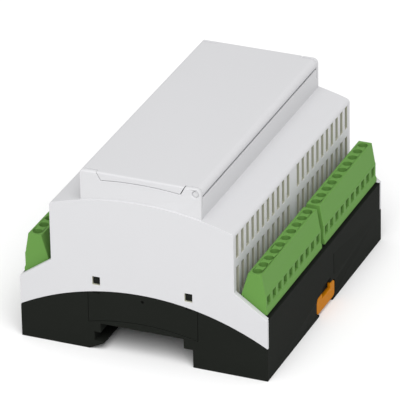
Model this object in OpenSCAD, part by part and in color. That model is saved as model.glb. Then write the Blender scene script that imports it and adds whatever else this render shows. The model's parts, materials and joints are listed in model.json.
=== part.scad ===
// Rail-mounted electronics housing: black lower shell, light grey upper shell with
// vented sides and a hinged cover, four rows of screw terminals on a circuit board.
// X runs along the rail, Y across it, Z away from it. The bottom centre is the origin.
// The side with the foot latch (-Y) is called the front.

/* [Housing] */
// Length along the rail
body_len = 107.6; // [96:0.2:140]
// Width across the rail
body_w = 89.7; // [88:0.1:100]
// Height of the upper shell and of the closed cover
body_h = 67.2; // [65:0.1:76]
// Wall of the upper shell and its end plates
wall = 2.0; // [1.6:0.1:2.4]
// Wall of the lower shell
base_wall = 2.0; // [1.6:0.1:2.4]
// Height of the lower shell's long sides
base_h = 23.0; // [22:0.1:25]
// Thickness of the end plates' edges where they show on the long sides
edge_t = 1.2; // [0.8:0.1:1.4]
// Seam left open between pieces that lie side by side
seam = 0.1; // [0.05:0.05:0.2]

/* [Arches of the end faces] */
// Height of the parting line between black and grey at the middle
parting_z = 23.7; // [23.4:0.1:25]
// Radius of the parting line
parting_r = 92.5; // [88:0.5:100]
// Height of the shoulders' arch at the middle
shoulder_z = 58.2; // [57:0.1:61]
// Radius of the shoulders' arch
shoulder_r = 105; // [98:1:120]
// Rounding where a shoulder meets the vented side
shoulder_round = 1.5; // [0.8:0.1:1.8]
// Height where the end plate's edge starts to slope inwards
skirt_z = 23.0; // [21:0.1:24]
// Height where that slope meets the vented side
waist_z = 31.3; // [29:0.1:34]
// How far the vented sides lie inside the long sides
side_step = 11.75; // [11:0.05:13]

/* [Raised middle and cover] */
// Width of the raised middle
crown_w = 43.4; // [40:0.1:48]
// How far the raised middle's ends stand back from the shoulders' end faces
crown_setback = 0.45; // [0.3:0.05:0.6]
// Rounding of the top edges at both ends
end_round = 0.8; // [0.5:0.1:1.0]
// Radius of the cover's hinge barrel
barrel_r = 2.1; // [1.9:0.1:2.4]
// Free space round the hinge barrel
barrel_gap = 0.15; // [0.12:0.01:0.25]
// Radius of the hinge pins
pin_r = 1.05; // [0.9:0.05:1.2]
// Radial clearance of the hinge pins
pin_fit = 0.05; // [0.03:0.01:0.08]
// Thickness of the cover
cover_t = 1.8; // [1.4:0.1:2.0]
// How far the cover's edges reach down below its top
cover_edge = 3.2; // [2.9:0.1:3.5]
// Open groove below the cover's long edges
groove = 0.6; // [0.4:0.1:0.9]
// Gap between the cover and the end plates
cover_gap = 0.25; // [0.2:0.05:0.4]
// Gap round a skirt of the cover, but for its hinge side
skirt_gap = 0.12; // [0.1:0.01:0.2]
// Width of the end skirt at the cover's top
skirt_top_w = 31.6; // [28:0.2:33]
// Width of the end skirt at its foot
skirt_foot_w = 28.4; // [24:0.2:30]
// Height of the end skirt
skirt_h = 2.9; // [2.6:0.1:3.2]
// Height of the free space between the cover and the inner front plate
panel_depth = 4.8; // [4.4:0.1:6]
// Thickness of the inner front plate
panel_t = 2.0; // [1.5:0.1:2.5]
// Depth of the marking field in the inner front plate
panel_field_t = 0.4; // [0.2:0.1:0.8]
// Width of the finger scoop under the cover's free edge
scoop_w = 16; // [12:1:24]

/* [Vents] */
// Distance from one vent slot to the next
slot_pitch = 4.57; // [4.2:0.01:5]
// Width of a vent slot
slot_w = 2.2; // [1.8:0.1:2.6]
// Foot of the lower row of slots
slot_low_z = 28.5; // [27:0.5:31]
// Foot of the bar between the rows
bar_z = 39.7; // [38:0.1:41]
// Height of the bar between the rows
bar_h = 3.3; // [2.6:0.1:4]
// Head of the upper row of slots
slot_top_z = 51.4; // [49:0.1:51.6]

/* [Terminal blocks] */
// Distance from one terminal to the next
term_pitch = 5.0; // [5:0.01:5.08]
// Height of the blocks above the circuit board
term_h = 15.3; // [14:0.1:17]
// Radius of the screw recesses
recess_r = 1.65; // [1.55:0.05:1.8]
// Depth of the screw recesses down to the screw heads
recess_depth = 3.4; // [2.6:0.1:4]
// Width of a wire entry
entry_w = 2.8; // [2.2:0.1:3.0]
// Height of a wire entry
entry_h = 3.4; // [3:0.1:3.8]
// Radius of a screw head
screw_head_r = 1.5; // [1.4:0.05:1.5]
// Radius of a screw's shank
screw_r = 1.2; // [1.1:0.05:1.25]
// Radius of a solder pin
solder_r = 0.5; // [0.4:0.05:0.6]

/* [Circuit board] */
// Thickness of the board
board_t = 1.6; // [1.0:0.1:1.6]
// Height of the board's top face
board_z = 23.2; // [23.1:0.1:24]
// Clearance round the board
board_gap = 0.4; // [0.3:0.1:0.6]
// Radius of the posts that carry the board
post_r = 3.0; // [2.6:0.1:3.5]
// Radius of the pins on those posts
post_pin_r = 1.4; // [1.2:0.1:1.6]

/* [Rail channel] */
// Width of the rail
rail_w = 35; // [35:0.1:35.3]
// Thickness of the rail's flanges
rail_t = 1.0; // [1.0:0.1:1.1]
// Height of the seats that the flanges lie against
seat_z = 6.65; // [6.5:0.05:7.2]
// Side clearance of a flange
rail_gap = 0.4; // [0.3:0.1:0.6]
// How far the hooks reach under the flanges
hook_grip = 2.7; // [2.2:0.1:3]
// Play between a flange and the hook under it
hook_play = 0.3; // [0.2:0.1:0.5]
// Depth of the channel above the seats
crown_depth = 3.5; // [3:0.1:4]

/* [Foot latch] */
// Width of the latch's face
latch_w = 16.6; // [14:0.2:18]
// Travel of the latch when it is pulled
latch_travel = 3.6; // [3:0.1:4]
// Clearance of the latch in its guide
latch_gap = 0.25; // [0.2:0.05:0.35]
// Height of the latch's underside
latch_z = 1.2; // [1.0:0.1:1.8]

/* [Hidden] */
$fn = 96;
over = 1; // how far a cutter runs past the face it opens
lap = 0.1; // how far parts of one solid reach into each other

half_len = body_len / 2;
half_w = body_w / 2;
inner_len = body_len - 2 * wall; // between the end plates
crown_y = crown_w / 2;
waist_y = half_w - side_step;
parting_c = parting_z - parting_r; // height of the parting arch's centre
shoulder_c = shoulder_z - shoulder_r;

// colours
light_grey = "#dcdcde";
mould_black = "#242623";
term_green = "#6aa050";
latch_orange = "#de8228";
board_green = "#2f6b45";
steel = "#b9bcc0";
tin = "#c9c6bd";

// Vents
slots_per_half = floor((inner_len / 2 - slot_w / 2) / slot_pitch);

// Hinge of the cover
hinge_y = barrel_r - crown_y;
hinge_z = body_h - barrel_r;
rear_round = 1.2; // rounding of the cover's free edge
crown_x = half_len - crown_setback; // end faces of the raised middle
pin_inset = 0.4; // the hinge pins end this far inside their bores
cover_foot_z = body_h - cover_edge;
crown_wall_z = cover_foot_z - groove; // top of the raised middle's long walls
panel_top_z = body_h - cover_t - panel_depth;

// Rail channel: the fixed hook is at +Y, the latch at -Y
channel_y = rail_w / 2 + rail_gap;
flange_z = seat_z - rail_t; // underside of a flange
hook_y = rail_w / 2 - hook_grip; // tip of the hooks
hook_top_z = flange_z - hook_play;
channel_top_z = seat_z + crown_depth;
web_y = 14.6; // the channel above the seats reaches to here
lip_top_z = 3.3; // the end walls' own lip lies lower than the hooks
hump_z = channel_top_z + base_wall; // top of the floor over the channel
hump_y = channel_y + base_wall;

// Foot latch
latch_top_z = hook_top_z - 0.05;
guide_z = latch_top_z + latch_gap; // roof of the latch's guide
latch_rail_w = 12.0; // body of the latch behind its face
wing_w = 1.6; // its guide wings
wing_z = latch_z + 1.4;
wing_top_z = latch_top_z - 0.6;
face_t = 1.2; // thickness of the latch's face
face_gap = 0.4; // open line round the face
face_round = 1.7;
face_top_z = 7.5;
notch_z = 5.7; // foot of the screwdriver notch in the face
notch_x = -3.4; // its left side
notch_w = 7.7;
notch_top_z = 9.8; // the wall is open above the notch up to here
peg_y = -33; // peg in the guide that stops the latch at both ends of its travel
peg_r = 1.2;

// Terminal block: distances from the middle plane of the housing
block_y = half_w - 1.3; // lower outer face
brow_y = block_y - 0.2; // foot of the sloping face
crest_out_y = half_w - 2.75; // flat top, outer and inner edge
crest_in_y = crest_out_y - 4.8;
foot_y = crest_in_y - 2.6; // inner foot of the block
sill_y = half_w - 0.1; // the sill stands out below the wire entries
brow_h = 8.1; // the sloping face starts this far above the board
knee_h = 6.5; // the inner face turns here
brow_z = board_z + brow_h;
knee_z = board_z + knee_h;
block_top_z = board_z + term_h;
ledge_z = base_h + 0.9; // underside of the overhang
sill_z = ledge_z + 1.3; // top of the sill's outer face
block_end = 0.2; // end wall beyond the last pitch
block_gap = 2.5; // least gap between the two blocks of a side
block_x = inner_len / 2 - 0.1; // outer end of a block
term_count = floor((block_x - block_gap / 2 - 2 * block_end) / term_pitch);
block_len = term_count * term_pitch + 2 * block_end;
first_term = block_x - block_end - term_pitch / 2;
screw_y = (crest_in_y + crest_out_y) / 2;
cage_w = 3.7;
cage_in_y = screw_y - 2.4;
cage_out_y = screw_y + 2.4;
cage_t = 0.5;
cavity_gap = 0.1;
head_h = 2.0;
head_z = block_top_z - recess_depth - head_h; // underside of a screw head
cavity_top_z = head_z - 0.1;
cage_z = board_z + 2.0;
entry_z = cage_z + 1.6; // foot of a wire entry
cage_top_z = cavity_top_z - 1.2;
strip_z = cage_top_z - 1.8; // underside of the contact strip
strip_t = 0.8;
solder_y = screw_y - 3.5;
solder_out = 2.0; // how far a pin stands out below the board

// Circuit board
board_len = inner_len - 2 * board_gap;
board_w = body_w - 2 * base_wall - 2 * board_gap;
board_under_z = board_z - board_t;
post_inset = 13; // from the end faces
post_x = half_len - post_inset;
post_y = 24.5;
post_fit = 0.1;

// End plugs
plug_y = 19.8;
plug_h = 10.9;
plug_arc_r = parting_r - plug_h; // its foot is an arch about the same centre
window_y = 16.7;
window_z = 26.3;
window_w = 2.7;
window_h = 3.0;
arm_w = 3.6;
arm_t = 1.4;
plug_flange = 1.2;
plug_skin_x = half_len - base_wall; // inner face of an end wall
plug_back_x = plug_skin_x - seam; // the plug's flange starts here

// Lays a profile drawn in Y and Z along X, from -len/2 to len/2
module along_x(len) {
    translate([-len / 2, 0, 0]) rotate([90, 0, 90]) linear_extrude(len) children();
}

// Lays a profile drawn in Y and Z along X, from x0 to x1
module from_x(x0, x1) {
    translate([x0, 0, 0]) rotate([90, 0, 90]) linear_extrude(x1 - x0) children();
}

module box(low, high) {
    translate(low) cube(high - low);
}

// Repeats a piece at the -X end and, mirrored, at the +X end
module both_ends() {
    children();
    mirror([1, 0, 0]) children();
}

module both_sides() {
    children();
    mirror([0, 1, 0]) children();
}

// A disc about an arch's centre on the middle plane
module arch(c, r) {
    translate([0, c]) circle(r = r, $fn = 360);
}

// Cross-section of the upper shell between its end plates, drawn at a depth under the skin
module shell_profile(depth, round_r) {
    side = waist_y - depth;
    r = shoulder_r - depth;
    round_c = shoulder_c + sqrt(pow(r - round_r, 2) - pow(side - round_r, 2));
    tangent_y = (side - round_r) * r / (r - round_r);
    intersection() {
        arch(shoulder_c, r);
        translate([-tangent_y, 0]) square([2 * tangent_y, body_h]);
    }
    translate([-side, 0]) square([2 * side, round_c]);
    for (s = [-1, 1]) translate([s * (side - round_r), round_c]) circle(r = round_r);
    translate([depth - crown_y, 0]) square([crown_w - 2 * depth, body_h - barrel_r]);
}

// Top of the raised middle: rounded about the hinge at -Y, and a small rounding at +Y
module crown_top() {
    translate([hinge_y, hinge_z]) circle(r = barrel_r);
    translate([hinge_y, hinge_z - barrel_r]) square([crown_y - rear_round - hinge_y, 2 * barrel_r]);
    translate([crown_y - rear_round, body_h - rear_round]) circle(r = rear_round);
    translate([0, hinge_z - barrel_r]) square([crown_y, 2 * barrel_r - rear_round]);
}

// Outline of an end plate, down to the parting arch
module end_plate_profile() {
    difference() {
        union() {
            shell_profile(0, shoulder_round);
            crown_top();
            polygon([[-half_w, 0], [-half_w, skirt_z], [-waist_y, waist_z],
                [waist_y, waist_z], [half_w, skirt_z], [half_w, 0]]);
        }
        arch(parting_c, parting_r + seam);
    }
}

// Rounds the top edges at both ends
module end_edge_cutter() {
    both_ends() translate([-crown_x, 0, body_h - end_round]) rotate([90, 0, 0])
        linear_extrude(body_w, center = true) difference() {
            translate([-over, 0]) square([over + end_round, over + end_round]);
            translate([end_round, 0]) circle(r = end_round);
        }
}

// The cover's end skirt; the gaps widen it to the notch that takes it
module skirt_profile(gap, hinge_gap) {
    foot_arch = 120;
    foot_z = body_h - skirt_h;
    top_y = skirt_top_w / 2;
    low_y = skirt_foot_w / 2;
    difference() {
        polygon([[-top_y - hinge_gap, body_h], [-low_y - hinge_gap, foot_z - gap],
            [low_y + gap, foot_z - gap], [top_y + gap, body_h],
            [top_y + gap, body_h + gap], [-top_y - hinge_gap, body_h + gap]]);
        arch(foot_z + 0.8 - gap - foot_arch, foot_arch);
    }
}

// One row of vent slots in one side
module slot_row(z0, z1) {
    for (half = [0, 1], i = [0:slots_per_half - 1]) {
        x = (half == 0 ? i + 1 : -i - 1) * slot_pitch;
        translate([x - slot_w / 2, waist_y - wall - over, z0]) cube([slot_w, wall + 2 * over, z1 - z0]);
    }
}

module upper_shell() {
    ledge_w = 1.6;
    ledge_foot_z = panel_top_z - panel_t - ledge_w;
    ear_slit = 0.4;
    bore_r = pin_r + pin_fit;
    bore_lead = 0.3; // bevel at the mouth of a pin's bore
    color(light_grey) difference() {
        union() {
            along_x(inner_len + 2 * lap) difference() {
                shell_profile(0, shoulder_round);
                shell_profile(wall, shoulder_round);
                translate([wall - crown_y, 0]) square([crown_w - 2 * wall, body_h]);
                translate([-half_w, crown_wall_z]) square([body_w, body_h]);
                translate([-half_w, 0]) square([body_w, board_z + 0.3]);
            }
            // ledges that carry the inner front plate
            along_x(inner_len + 2 * lap) for (s = [-1, 1])
                translate([s * (crown_y - wall - ledge_w / 2) - ledge_w / 2 - 0.05, ledge_foot_z])
                    square([ledge_w + 0.1, ledge_w]);
            both_ends() {
                from_x(-crown_x, -inner_len / 2) difference() {
                    end_plate_profile();
                    skirt_profile(skirt_gap, cover_gap);
                }
                from_x(-half_len, -inner_len / 2) intersection() {
                    end_plate_profile();
                    arch(shoulder_c, shoulder_r);
                }
            }
        }
        end_edge_cutter();
        // the end plates' edges are thinner beside the lower shell's long walls
        both_ends() both_sides() box([edge_t - half_len, half_w - base_wall - seam, 0],
            [over - inner_len / 2, half_w + over, base_h + seam]);
        // free space for the hinge barrel, and the bores of its pins
        along_x(inner_len) translate([hinge_y, hinge_z]) circle(r = barrel_r + barrel_gap);
        translate([-half_len - over, hinge_y, hinge_z]) rotate([0, 90, 0])
            cylinder(r = bore_r, h = body_len + 2 * over);
        both_ends() translate([-crown_x, hinge_y, hinge_z]) rotate([0, 90, 0])
            cylinder(r1 = bore_r + bore_lead, r2 = bore_r, h = bore_lead);
        // slits beside the end plates let their hinge ears spring
        both_ends() box([-inner_len / 2, -crown_y - over, crown_wall_z - 3.5],
            [ear_slit - inner_len / 2, wall - crown_y + over, crown_wall_z + over]);
        both_sides() {
            slot_row(slot_low_z, bar_z);
            slot_row(bar_z + bar_h, slot_top_z);
        }
        both_ends() both_sides() box([-half_len - over, window_y - window_w / 2, window_z - window_h / 2],
            [over - inner_len / 2, window_y + window_w / 2, window_z + window_h / 2]);
        // finger scoop under the free edge of the cover
        translate([0, crown_y + scoop_w * 0.62, crown_wall_z])
            cylinder(r = scoop_w * 0.66, h = 5, center = true);
    }
}

// Cross-section of the cover between the end plates
module cover_profile() {
    rim_t = 1.5;
    difference() {
        union() {
            intersection() {
                translate([hinge_y, hinge_z]) circle(r = barrel_r);
                translate([-crown_y, cover_foot_z]) square([barrel_r, body_h - cover_foot_z]);
            }
            translate([hinge_y, body_h - cover_t]) square([crown_y - rear_round - hinge_y, cover_t]);
            translate([crown_y - rear_round, body_h - rear_round]) circle(r = rear_round);
            translate([crown_y - rim_t, cover_foot_z]) square([rim_t, cover_edge - rear_round]);
        }
        translate([hinge_y, hinge_z]) circle(r = barrel_r - rim_t);
        translate([hinge_y - 0.01, cover_foot_z - over]) square([barrel_r, cover_edge + over - cover_t]);
    }
}

module cover_lid() {
    cover_len = inner_len - 2 * cover_gap;
    hub_len = 4;
    skirt_x = crown_x - 0.1;
    pin_x = crown_x - pin_inset;
    color(light_grey) difference() {
        union() {
            along_x(cover_len) cover_profile();
            both_ends() {
                from_x(-skirt_x, wall - cover_len / 2) skirt_profile(0, 0);
                translate([-cover_len / 2, hinge_y, hinge_z]) rotate([0, 90, 0])
                    cylinder(r = barrel_r, h = hub_len);
                translate([-pin_x, hinge_y, hinge_z]) rotate([0, 90, 0])
                    cylinder(r = pin_r, h = pin_x - cover_len / 2 + over);
            }
        }
        end_edge_cutter();
    }
}

module front_plate() {
    plate_y = crown_y - wall - 0.3;
    plate_x = inner_len / 2 - 0.3;
    rim = 4;
    finger_w = 12;
    finger_l = 7;
    field_x = plate_x - finger_l - rim / 2;
    color(light_grey) difference() {
        box([-plate_x, -plate_y, panel_top_z - panel_t], [plate_x, plate_y, panel_top_z]);
        box([-field_x, rim - plate_y, panel_top_z - panel_field_t],
            [field_x, plate_y - rim, panel_top_z + over]);
        // a finger notch at each end, for lifting the plate out
        both_ends() box([-plate_x - over, -finger_w / 2, panel_top_z - panel_t - over],
            [finger_l - plate_x, finger_w / 2, panel_top_z + over]);
    }
}

// Space for the rail, drawn in Y and Z; the hook side is at +Y
module channel_profile() {
    polygon([[-channel_y, -over], [-channel_y, seat_z], [-web_y, seat_z], [-web_y, channel_top_z],
        [web_y + 1, channel_top_z], [web_y + 1, seat_z], [channel_y, seat_z], [channel_y, lip_top_z],
        [hook_y - 0.4, lip_top_z], [hook_y - 0.4, lip_top_z - 0.6],
        [channel_y + 2.0, 0], [channel_y + 2.7, -over]]);
}

module lower_profile() {
    difference() {
        translate([-half_w, 0]) square([body_w, base_h]);
        translate([hump_y + 1, base_wall]) square([half_w - base_wall - hump_y - 1, base_h]);
        translate([base_wall - half_w, base_wall]) square([half_w - base_wall - hump_y, base_h]);
        translate([-hump_y - over, hump_z]) square([2 * hump_y + 3 * over, base_h]);
        channel_profile();
    }
}

module lower_end_profile() {
    intersection() {
        difference() {
            translate([-half_w, 0]) square([body_w, parting_z]);
            channel_profile();
        }
        arch(parting_c, parting_r);
    }
}

// Face of an end plug; gap widens it to the opening that takes it
module plug_profile(gap) {
    difference() {
        translate([-plug_y - gap, 0]) square([2 * (plug_y + gap), body_h]);
        arch(parting_c, plug_arc_r - gap);
    }
}

module rounded_square(low, high, r) {
    for (y = [low[0] + r, high[0] - r], z = [low[1] + r, high[1] - r])
        translate([y, z]) circle(r = r, $fn = 32);
    translate([low[0] + r, low[1]]) square([high[0] - low[0] - 2 * r, high[1] - low[1]]);
    translate([low[0], low[1] + r]) square([high[0] - low[0], high[1] - low[1] - 2 * r]);
}

// The notch for a screwdriver in the latch's face, with the opening above it
module latch_notch() {
    translate([notch_x, notch_z]) square([notch_w, notch_top_z - notch_z]);
}

// The latch's face, drawn in X and Z; gap widens it to its pocket in the wall
module latch_face(gap) {
    rounded_square([-latch_w / 2 - gap, latch_z - gap],
        [latch_w / 2 + gap, face_top_z + gap], face_round + gap);
}

module latch_guide() {
    body_x = latch_rail_w / 2 + latch_gap;
    wing_x = body_x + wing_w;
    // body and wings slide here; the guide is open below
    box([-body_x, -half_w - over, -over], [body_x, -channel_y + over, guide_z]);
    box([-wing_x, -half_w - over, wing_z - latch_gap],
        [wing_x, -channel_y - base_wall, wing_top_z + latch_gap]);
    // pocket of the face, with the opening for the screwdriver
    translate([0, -half_w + face_t + latch_gap, 0]) rotate([90, 0, 0]) linear_extrude(face_t + 2 * over) {
        latch_face(face_gap);
        latch_notch();
    }
}

module board_post() {
    shaft_h = board_under_z - base_wall / 2;
    translate([0, 0, base_wall / 2]) cylinder(r = post_r, h = shaft_h);
    translate([0, 0, board_under_z - over]) cylinder(r = post_pin_r, h = over + board_t + 0.8);
}

module lower_shell() {
    guide_wall = 1.8;
    hook_len = 18;
    hook_x = 24;
    roof_z = guide_z + guide_wall;
    hook_root = channel_y + base_wall / 2;
    boss_x = latch_w / 2 + guide_wall + 1;
    line_x = latch_w / 2 - 1.1;
    line_w = 0.35;
    line_top_z = base_h - 5.5;
    color(mould_black) difference() {
        union() {
            along_x(body_len) lower_profile();
            both_ends() from_x(-half_len, -plug_skin_x) lower_end_profile();
            both_ends() both_sides() translate([-post_x, post_y, 0]) board_post();
            // hooks that hold the rail's flange
            both_ends() box([-hook_x - hook_len, hook_y, lip_top_z - 0.6],
                [-hook_x, hook_root, hook_top_z]);
            // roof and side walls of the latch's guide
            box([-boss_x, base_wall / 2 - half_w, base_wall / 2], [boss_x, base_wall / 2 - hump_y, roof_z]);
            box([-boss_x, base_wall / 2 - half_w, roof_z - over],
                [boss_x, face_t + latch_gap + guide_wall - half_w, notch_top_z + guide_wall]);
        }
        difference() {
            latch_guide();
            translate([0, peg_y, guide_z - 1.3]) cylinder(r = peg_r, h = 3, $fn = 32);
        }
        both_ends() from_x(-half_len - over, seam - plug_back_x) plug_profile(seam);
        // rebates that take the end plates' edges
        both_ends() {
            from_x(-half_len - over, edge_t - half_len + seam) difference() {
                translate([-half_w - over, 0]) square([body_w + 2 * over, body_h]);
                arch(parting_c, parting_r);
            }
            from_x(-half_len - over, -inner_len / 2 + seam) difference() {
                translate([base_wall - half_w, 0]) square([body_w - 2 * base_wall, body_h]);
                arch(parting_c, parting_r);
            }
        }
        // fine line above the latch
        box([line_x, -half_w - over, notch_top_z], [line_x + line_w, 0.4 - half_w, line_top_z]);
    }
}

module foot_latch() {
    tip_y = -hook_y;
    back_y = tip_y - 5;
    face_y = -half_w + 0.1;
    wing_end_y = -hump_y - latch_gap - 6;
    body_x = latch_rail_w / 2;
    wing_x = body_x + wing_w;
    nose_t = 0.8;
    groove_r = peg_r + latch_gap;
    groove_h = 1.5;
    slit_w = 1.0;
    slit_x = body_x - 2.2;
    slit_y = [face_y + 6.75, back_y - 4.2];
    relief_x = slit_x - slit_w / 2 - 0.9;
    color(latch_orange) difference() {
        union() {
            box([-body_x, face_y + face_t - 0.2, latch_z], [body_x, back_y, latch_top_z]);
            // nose with its lead-in slope
            along_x(latch_rail_w) polygon([[back_y, latch_z], [tip_y, latch_top_z - nose_t],
                [tip_y, latch_top_z], [back_y, latch_top_z]]);
            box([-wing_x, face_y + face_t - 0.1, wing_z], [wing_x, wing_end_y, wing_top_z]);
            translate([0, face_y + face_t, 0]) rotate([90, 0, 0]) linear_extrude(face_t) difference() {
                latch_face(0);
                latch_notch();
            }
        }
        // groove for the guide's stop peg
        for (y = [peg_y, peg_y + latch_travel]) translate([0, y, latch_top_z - groove_h])
            cylinder(r = groove_r, h = groove_h + over, $fn = 32);
        box([-groove_r, peg_y, latch_top_z - groove_h],
            [groove_r, peg_y + latch_travel, latch_top_z + over]);
        // slits that leave two spring tongues in the body, and a relief between them
        for (s = [-1, 1]) translate([s * slit_x, 0, 0])
            box([-slit_w / 2, slit_y[0], -over], [slit_w / 2, slit_y[1], body_h]);
        box([-relief_x, slit_y[0] + 2, latch_z - over], [relief_x, slit_y[1] - 2, latch_z + 1.4]);
    }
}

module main_board() {
    arm_notch = arm_w / 2 + 0.8;
    color(board_green) difference() {
        box([-board_len / 2, -board_w / 2, board_under_z], [board_len / 2, board_w / 2, board_z]);
        both_ends() both_sides() {
            translate([-post_x, post_y, board_z])
                cylinder(r = post_pin_r + post_fit, h = 4 * board_t, center = true);
            box([-half_len, window_y - arm_notch, board_under_z - over],
                [arm_t + 0.6 - plug_skin_x, window_y + arm_notch, board_z + over]);
            for (i = [0:term_count - 1]) translate([i * term_pitch - first_term, solder_y, board_z])
                cylinder(r = solder_r + 0.15, h = 4 * board_t, center = true, $fn = 24);
        }
    }
}

// Filler of the opening in an end wall, at -X; its two arms snap into the end plate's windows
module end_plug() {
    flange_top_z = board_under_z - 0.8;
    arm_top_z = window_z + window_h / 2;
    lug_w = window_w - 0.4;
    lug_h = window_h - 0.5;
    parting_y_z = parting_c + sqrt(pow(parting_r, 2) - pow(window_y, 2)); // parting line over a window
    color(mould_black) difference() {
        union() {
            from_x(-half_len, -plug_back_x) intersection() {
                plug_profile(0);
                arch(parting_c, parting_r);
            }
            box([-plug_back_x - 0.01, -plug_y - plug_flange, hump_z + seam],
                [arm_t - plug_back_x, plug_y + plug_flange, flange_top_z]);
            both_sides() {
                box([-plug_back_x - 0.01, window_y - arm_w / 2, flange_top_z - over],
                    [arm_t - plug_back_x, window_y + arm_w / 2, arm_top_z]);
                box([-half_len + 0.5, window_y - lug_w / 2, window_z - lug_h / 2],
                    [-plug_back_x, window_y + lug_w / 2, window_z + lug_h / 2]);
            }
        }
        translate([-half_len, 0, parting_z - 2.4]) rotate([0, 90, 0])
            cylinder(r = 0.5, h = 1.6, center = true, $fn = 24);
        // small relief under each window
        both_sides() box([-half_len - over, window_y - 1.2, parting_y_z - 0.7],
            [0.5 - half_len, window_y + 1.2, parting_z]);
    }
}

// Outline of a terminal block on the +Y side, drawn in Y and Z
module block_profile() {
    polygon([[foot_y, board_z], [foot_y, knee_z], [crest_in_y, block_top_z], [crest_out_y, block_top_z],
        [brow_y, brow_z], [block_y, brow_z - 0.4], [block_y, sill_z + 0.9],
        [sill_y, sill_z], [sill_y, ledge_z],
        [board_w / 2 - 0.1, ledge_z], [board_w / 2 - 0.1, board_z]]);
}

// Everything cut out of a block for one terminal
module terminal_cavity() {
    cage_gap_w = cage_w / 2 + cavity_gap;
    translate([0, screw_y, cavity_top_z - 0.01]) cylinder(r = recess_r, h = term_h, $fn = 48);
    box([-cage_gap_w, cage_in_y - cavity_gap, cage_z], [cage_gap_w, cage_out_y + cavity_gap, cavity_top_z]);
    box([-entry_w / 2, cage_out_y, entry_z], [entry_w / 2, block_y + over, entry_z + entry_h]);
    translate([0, solder_y, board_z - over])
        cylinder(r = solder_r + cavity_gap, h = strip_z + strip_t + over - board_z, $fn = 24);
    box([-1.3, solder_y - solder_r - cavity_gap, strip_z - cavity_gap],
        [1.3, cage_in_y, strip_z + strip_t + cavity_gap]);
}

// Repeats a piece at each terminal of the block at +X, +Y
module each_terminal() {
    for (i = [0:term_count - 1]) translate([first_term - i * term_pitch, 0, 0]) children();
}

// Places a piece made for the block at +X, +Y at one of the four corners
module at_corner(side_x, side_y) {
    mirror([side_x < 0 ? 1 : 0, 0, 0]) mirror([0, side_y < 0 ? 1 : 0, 0]) children();
}

module terminal_block() {
    color(term_green) difference() {
        from_x(block_x - block_len, block_x) block_profile();
        each_terminal() terminal_cavity();
    }
}

module terminal_screws() {
    shank_h = head_z - strip_z - strip_t;
    color(steel) each_terminal() translate([0, screw_y, head_z]) difference() {
        union() {
            cylinder(r = screw_head_r, h = head_h, $fn = 48);
            translate([0, 0, -shank_h]) cylinder(r = screw_r, h = shank_h + 0.1, $fn = 32);
        }
        box([-screw_head_r - over, -0.25, head_h - 0.8], [screw_head_r + over, 0.25, head_h + over]);
    }
}

module clamp_cages() {
    color(steel) each_terminal() difference() {
        box([-cage_w / 2, cage_in_y, cage_z], [cage_w / 2, cage_out_y, cage_top_z]);
        box([cage_t - cage_w / 2, cage_in_y - over, cage_z + cage_t],
            [cage_w / 2 - cage_t, cage_out_y + over, cage_top_z - cage_t]);
        translate([0, screw_y, cage_top_z])
            cylinder(r = screw_r + 0.05, h = 4 * cage_t, center = true, $fn = 32);
    }
}

module solder_pins() {
    color(tin) each_terminal() {
        box([-1.1, solder_y - solder_r, strip_z], [1.1, cage_out_y - 0.3, strip_z + strip_t]);
        translate([0, solder_y, board_under_z - solder_out])
            cylinder(r = solder_r, h = strip_z + 0.1 + solder_out - board_under_z, $fn = 24);
    }
}

lower_shell();
upper_shell();
cover_lid();
front_plate();
foot_latch();
main_board();
end_plug();  // end_plug_left
mirror([1, 0, 0]) end_plug();  // end_plug_right
at_corner(-1, -1) terminal_block();  // terminal_block_front_left
at_corner(1, -1) terminal_block();  // terminal_block_front_right
at_corner(-1, 1) terminal_block();  // terminal_block_rear_left
at_corner(1, 1) terminal_block();  // terminal_block_rear_right
at_corner(-1, -1) terminal_screws();  // terminal_screws_front_left
at_corner(1, -1) terminal_screws();  // terminal_screws_front_right
at_corner(-1, 1) terminal_screws();  // terminal_screws_rear_left
at_corner(1, 1) terminal_screws();  // terminal_screws_rear_right
at_corner(-1, -1) clamp_cages();  // clamp_cages_front_left
at_corner(1, -1) clamp_cages();  // clamp_cages_front_right
at_corner(-1, 1) clamp_cages();  // clamp_cages_rear_left
at_corner(1, 1) clamp_cages();  // clamp_cages_rear_right
at_corner(-1, -1) solder_pins();  // solder_pins_front_left
at_corner(1, -1) solder_pins();  // solder_pins_front_right
at_corner(-1, 1) solder_pins();  // solder_pins_rear_left
at_corner(1, 1) solder_pins();  // solder_pins_rear_right
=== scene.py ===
"""Looks of a rail-mounted electronics housing: moulded shells with softened edges, screw
terminals, a circuit board, a plain studio and the camera. Lengths are in metres."""

import json
import math

import bmesh
import bpy
from mathutils import Matrix, Vector
from mathutils.bvhtree import BVHTree

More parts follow.
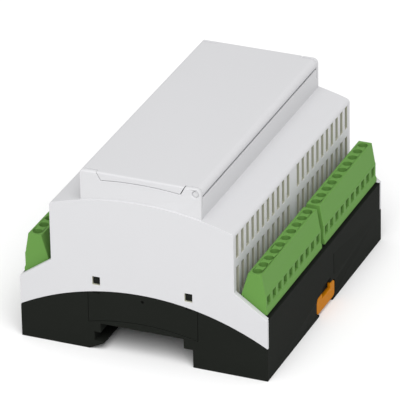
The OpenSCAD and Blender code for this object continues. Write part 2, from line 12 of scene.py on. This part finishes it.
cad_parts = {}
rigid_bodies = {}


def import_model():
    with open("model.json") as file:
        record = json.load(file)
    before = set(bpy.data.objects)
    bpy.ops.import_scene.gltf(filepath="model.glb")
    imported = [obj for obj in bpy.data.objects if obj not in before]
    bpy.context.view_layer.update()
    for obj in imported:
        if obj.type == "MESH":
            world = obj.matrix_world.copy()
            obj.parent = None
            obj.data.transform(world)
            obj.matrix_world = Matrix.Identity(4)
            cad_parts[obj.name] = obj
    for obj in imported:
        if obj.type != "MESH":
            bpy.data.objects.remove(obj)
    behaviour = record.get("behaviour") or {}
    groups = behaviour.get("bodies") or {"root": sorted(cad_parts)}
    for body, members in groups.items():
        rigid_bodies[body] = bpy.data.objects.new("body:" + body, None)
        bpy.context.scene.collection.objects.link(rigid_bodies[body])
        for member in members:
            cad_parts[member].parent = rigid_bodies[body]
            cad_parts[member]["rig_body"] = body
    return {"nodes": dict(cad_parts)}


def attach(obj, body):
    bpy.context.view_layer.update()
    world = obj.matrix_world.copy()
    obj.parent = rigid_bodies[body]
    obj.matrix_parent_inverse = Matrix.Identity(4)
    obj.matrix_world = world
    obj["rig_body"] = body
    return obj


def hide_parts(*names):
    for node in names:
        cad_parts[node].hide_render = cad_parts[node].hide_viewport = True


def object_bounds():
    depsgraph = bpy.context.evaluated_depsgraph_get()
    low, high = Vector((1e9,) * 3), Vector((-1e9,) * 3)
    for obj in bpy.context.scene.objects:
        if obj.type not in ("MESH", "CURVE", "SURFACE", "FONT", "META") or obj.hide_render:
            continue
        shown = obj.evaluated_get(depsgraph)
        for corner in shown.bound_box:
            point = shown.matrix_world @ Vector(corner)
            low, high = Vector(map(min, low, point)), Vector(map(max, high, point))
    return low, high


MM = 0.001
CORNERS = ("front_left", "front_right", "rear_left", "rear_right")
WELD = 0.001 * MM  # points closer than this are one point
SHARP = math.radians(32)  # edges that turn by more are rounded, and shade as edges
FLAT = math.radians(0.5)  # faces that turn by less are one flat face
SILL_FROM, SILL_TO = 44.2 * MM, 43.95 * MM  # the sills beyond the first are drawn in to the second
SHELL_TOP = 55 * MM  # height where the inside of the upper shell ends
SHELL_SPAN = 90 * MM  # more than the width of the inside of the upper shell
CLOUD = 20 * MM  # size of the faint clouds in moulded plastic
WEAVE = 1.2 * MM  # pitch of the glass cloth in the board
STREAK = 0.4 * MM  # length of the streaks in plated metal

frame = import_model()
cad_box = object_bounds()
low, high = cad_box
middle = (low + high) / 2

# ---------------------------------------------------------------- materials


def colour(hex_code):
    """An sRGB hex value as the linear RGBA that the shaders take."""
    channels = [int(hex_code[i : i + 2], 16) / 255 for i in (1, 3, 5)]
    linear = [c / 12.92 if c <= 0.04045 else ((c + 0.055) / 1.055) ** 2.4 for c in channels]
    return (*linear, 1.0)


def add_node(material, kind, settings=(), links=()):
    """Adds a node to a material; settings are (name or socket, value), links (socket, output)."""
    node = material.node_tree.nodes.new(kind)
    for name, value in settings:
        if isinstance(name, str) and hasattr(node, name):
            setattr(node, name, value)
        else:
            node.inputs[name].default_value = value
    for name, output in links:
        material.node_tree.links.new(output, node.inputs[name])
    return node


def new_finish(name, settings):
    """A material with one Principled shader and the Object coordinates its patterns use."""
    material = bpy.data.materials.new(name)
    material.use_nodes = True
    shader = material.node_tree.nodes["Principled BSDF"]
    for socket, value in settings:
        shader.inputs[socket].default_value = value
    place = add_node(material, "ShaderNodeTexCoord").outputs["Object"]
    return material, shader, place


def join(material, output, socket):
    material.node_tree.links.new(output, socket)


def noise(material, place, size, detail):
    """Noise from 0 to 1 with spots of about a size in metres."""
    settings = [("Scale", 1 / size), ("Detail", detail)]
    return add_node(material, "ShaderNodeTexNoise", settings, [("Vector", place)]).outputs["Fac"]


def blend(material, factor, first, second):
    """A colour that goes from the first to the second as the factor goes from 0 to 1."""
    mix = add_node(material, "ShaderNodeMix", [("data_type", "RGBA")], [("Factor", factor)])
    mix.inputs[6].default_value = first
    mix.inputs[7].default_value = second
    return mix.outputs[2]


def spread(material, factor, least, most):
    """A value that goes from least to most as the factor goes from 0 to 1."""
    settings = [("To Min", least), ("To Max", most)]
    return add_node(material, "ShaderNodeMapRange", settings, [("Value", factor)]).outputs["Result"]


def moulded_plastic(name, hex_code, roughness, gloss, grain, depth, tone):
    """Injection-moulded plastic from a spark-eroded tool: the eye sees a fine even grain that
    breaks up highlights, and a faint cloudiness where the melt cooled at different speeds."""
    material, shader, place = new_finish(name, [("IOR", 1.53), ("Specular IOR Level", gloss)])
    clouds = noise(material, place, CLOUD, 2.0)
    base = colour(hex_code)
    darker = tuple(c * (1 - tone) for c in base[:3]) + (1.0,)
    lighter = tuple(min(1.0, c * (1 + tone)) for c in base[:3]) + (1.0,)
    tones = blend(material, clouds, darker, lighter)
    join(material, tones, shader.inputs["Base Color"])
    # the grain is drawn a few times coarser than the real 0.03 mm, so that it shows
    fine = noise(material, place, grain * MM, 3.0)
    sheen = spread(material, fine, roughness - 0.06, roughness + 0.06)
    join(material, sheen, shader.inputs["Roughness"])
    bump = add_node(
        material,
        "ShaderNodeBump",
        [("Strength", 0.5), ("Distance", depth * MM)],
        [("Height", fine)],
    )
    join(material, bump.outputs["Normal"], shader.inputs["Normal"])
    return material


def solder_mask():
    """Glass-epoxy laminate under green solder mask: the eye sees gloss over a faint weave."""
    settings = [("IOR", 1.5), ("Roughness", 0.28)]
    material, shader, place = new_finish("solder_mask_on_glass_epoxy", settings)
    weave = add_node(
        material,
        "ShaderNodeTexWave",
        [("Scale", 1 / WEAVE), ("Distortion", 0.6), ("Detail", 1.0)],
        [("Vector", place)],
    )
    tones = blend(material, weave.outputs["Fac"], colour("#2c6340"), colour("#33704a"))
    join(material, tones, shader.inputs["Base Color"])
    return material


def zinc_plate(name, hex_code, roughness):
    """Bright zinc or tin over formed metal: soft reflections with short random streaks."""
    material, shader, place = new_finish(name, [("Metallic", 1.0)])
    streaks = noise(material, place, STREAK, 2.0)
    shader.inputs["Base Color"].default_value = colour(hex_code)
    sheen = spread(material, streaks, roughness - 0.08, roughness + 0.1)
    join(material, sheen, shader.inputs["Roughness"])
    return material


# name, colour, roughness, gloss, grain in mm, depth of the grain in mm, tone
light_grey_abs = moulded_plastic(
    "light_grey_abs_fine_grain", "#c5c5c7", 0.5, 0.3, 0.35, 0.02, 0.008
)
# painted shade for the inside of the upper shell and its slots: a darker grey, tinted green-yellow
# as a painted reflection of the terminal blocks
painted_shade_grey_abs = moulded_plastic("light_grey_abs_painted_inner_shade", "#adad9c", 0.75, 0.1, 0.5, 0.02, 0.02)
black_abs = moulded_plastic("black_abs_fine_grain", "#1c1e1b", 0.7, 0.03, 0.35, 0.02, 0.03)
green_polyamide = moulded_plastic(
    "green_polyamide_smooth", "#608b45", 0.42, 0.03, 0.5, 0.01, 0.02
)
orange_abs = moulded_plastic("orange_abs_smooth", "#b9720c", 0.4, 0.02, 0.5, 0.01, 0.02)
board_mask = solder_mask()
zinc_steel = zinc_plate("bright_zinc_plated_steel", "#b9bcc0", 0.3)
tinned_brass = zinc_plate("tinned_brass", "#c9c6bd", 0.35)

# ---------------------------------------------------------------- softened mouldings


def join_flats(bm):
    """Joins the loose triangles of each flat face, so that only real edges are left to round."""
    bmesh.ops.dissolve_limit(bm, angle_limit=FLAT, verts=bm.verts, edges=bm.edges)


def slim_sill(bm):
    """The sill below the wire entries stands out by no more than a lip."""
    for vert in bm.verts:
        if abs(vert.co.y) > SILL_FROM:
            vert.co.y = math.copysign(SILL_TO, vert.co.y)


def softened(node, name, material, radius, reshape):
    """Stands for a CAD node: the same form, merged, with its edges rounded by a radius in mm."""
    source = frame["nodes"][node]
    bm = bmesh.new()
    bm.from_mesh(source.data)
    bmesh.ops.remove_doubles(bm, verts=bm.verts, dist=WELD)
    reshape(bm)
    mesh = bpy.data.meshes.new(name)
    bm.to_mesh(mesh)
    bm.free()
    piece = bpy.data.objects.new(name, mesh)
    bpy.context.scene.collection.objects.link(piece)
    mesh.materials.clear()
    mesh.materials.append(material)
    if radius:
        bevel = piece.modifiers.new("mould_radius", "BEVEL")
        bevel.width = radius * MM
        bevel.segments = 2
        bevel.limit_method = "ANGLE"
        bevel.angle_limit = SHARP
        bevel.use_clamp_overlap = False
        bevel.harden_normals = True
    mesh.shade_smooth()
    mesh.set_sharp_from_angle(angle=SHARP)
    body = source["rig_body"]
    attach(piece, body)
    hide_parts(node)
    return piece


def paint_inner_shade(piece, material):
    """Gives a second material to the faces of the upper shell that look at another of its faces
    across the inside or a slot: painted shade, darker and rougher, tinted as a painted green
    reflection of the terminal blocks."""
    bm = bmesh.new()
    bm.from_mesh(piece.data)
    bm.normal_update()
    tree = BVHTree.FromBMesh(bm)
    for face in bm.faces:
        start = face.calc_center_median() + face.normal * 0.01 * MM
        if start.z < SHELL_TOP and tree.ray_cast(start, face.normal, SHELL_SPAN)[0]:
            face.material_index = 1
    bm.to_mesh(piece.data)
    bm.free()
    piece.data.materials.append(material)


def dress_cad_nodes():
    """Softened mouldings for the plastic parts and the board, and metal for the CAD nodes left."""
    # CAD node, name, material, slot, radius in mm
    mouldings = [
        ("upper_shell", "upper_shell_moulding", light_grey_abs, "grey_moulding", 0.2),
        ("lower_shell", "lower_shell_moulding", black_abs, "black_moulding", 0.2),
        ("cover_lid", "cover_moulding", light_grey_abs, "grey_moulding", 0.2),
        ("front_plate", "inner_front_plate", light_grey_abs, "grey_moulding", 0.2),
        ("foot_latch", "foot_latch_moulding", orange_abs, "orange_moulding", 0.2),
        ("main_board", "circuit_board", board_mask, "circuit_board", 0.0),
        ("end_plug_left", "end_plug_moulding_left", black_abs, "black_moulding", 0.15),
        ("end_plug_right", "end_plug_moulding_right", black_abs, "black_moulding", 0.15),
    ]
    for node, name, material, slot, radius in mouldings:
        piece = softened(node, name, material, radius, join_flats)
        # painted shade and painted green reflection on the inside of the upper shell and in its
        # slots
        if node == "upper_shell":
            paint_inner_shade(piece, painted_shade_grey_abs)
    metals = [
        ("terminal_screws_", zinc_steel),
        ("clamp_cages_", zinc_steel),
        ("solder_pins_", tinned_brass),
    ]
    for corner in CORNERS:
        name = "terminal_housing_" + corner
        node = "terminal_block_" + corner
        softened(node, name, green_polyamide, 0.15, slim_sill)
        for stem, metal in metals:
            slots = frame["nodes"][stem + corner].data.materials
            slots.clear()
            slots.append(metal)


dress_cad_nodes()

# ---------------------------------------------------------------- studio and camera


def studio_floor():
    """A plain pale floor, large enough to fill every view."""
    bm = bmesh.new()
    bmesh.ops.create_grid(bm, x_segments=1, y_segments=1, size=6.0)
    mesh = bpy.data.meshes.new("studio_floor")
    bm.to_mesh(mesh)
    bm.free()
    floor = bpy.data.objects.new("studio_floor", mesh)
    bpy.context.scene.collection.objects.link(floor)
    floor.location.z = low.z
    paper, shader, _ = new_finish("white_paper", [("Roughness", 0.9), ("Specular IOR Level", 0.1)])
    shader.inputs["Base Color"].default_value = colour("#f4f4f4")
    mesh.materials.append(paper)


def direction(azimuth, elevation):
    """Unit vector from the object; azimuth 0 lies on the -Y side, 90 on the +X side, in degrees."""
    a, e = math.radians(azimuth), math.radians(elevation)
    return Vector((math.sin(a) * math.cos(e), -math.cos(a) * math.cos(e), math.sin(e)))


def soft_light(name, azimuth, elevation, distance, size, power):
    """A square softbox that looks at the object."""
    back = direction(azimuth, elevation)
    data = bpy.data.lights.new(name, "AREA")
    data.size = size
    data.energy = power
    lamp = bpy.data.objects.new(name, data)
    bpy.context.scene.collection.objects.link(lamp)
    lamp.location = middle + back * distance
    lamp.rotation_euler = back.to_track_quat("Z", "Y").to_euler()


def studio_light():
    """An even pale surround and one softbox on the side of the camera."""
    world = bpy.data.worlds.new("studio")
    bpy.context.scene.world = world
    world.use_nodes = True
    surround = world.node_tree.nodes["Background"]
    surround.inputs["Color"].default_value = (1, 1, 1, 1)
    surround.inputs["Strength"].default_value = 0.62
    soft_light("key_softbox", -67, 53, 2.2, 2.2, 51.0)
    bpy.context.scene.view_settings.view_transform = "Standard"


def camera():
    """A long lens over the near corner, turned a little about its own axis."""
    back = direction(-67.02, 27.57)
    distance = 1.4984
    roll = math.radians(-1.06)
    right = (-back).cross(Vector((0, 0, 1))).normalized()
    up = right.cross(-back)
    turned_right = math.cos(roll) * right + math.sin(roll) * up
    turned_up = -math.sin(roll) * right + math.cos(roll) * up
    data = bpy.data.cameras.new("camera")
    data.sensor_width = 36
    data.lens = 394.5
    data.clip_end = 20
    taker = bpy.data.objects.new("camera", data)
    bpy.context.scene.collection.objects.link(taker)
    turn = Matrix((turned_right, turned_up, back)).transposed().to_4x4()
    aim = middle + Vector((-0.46, 1.06, 0)) * MM
    taker.matrix_world = Matrix.Translation(aim + back * distance) @ turn
    bpy.context.scene.camera = taker


camera()
studio_floor()
studio_light()
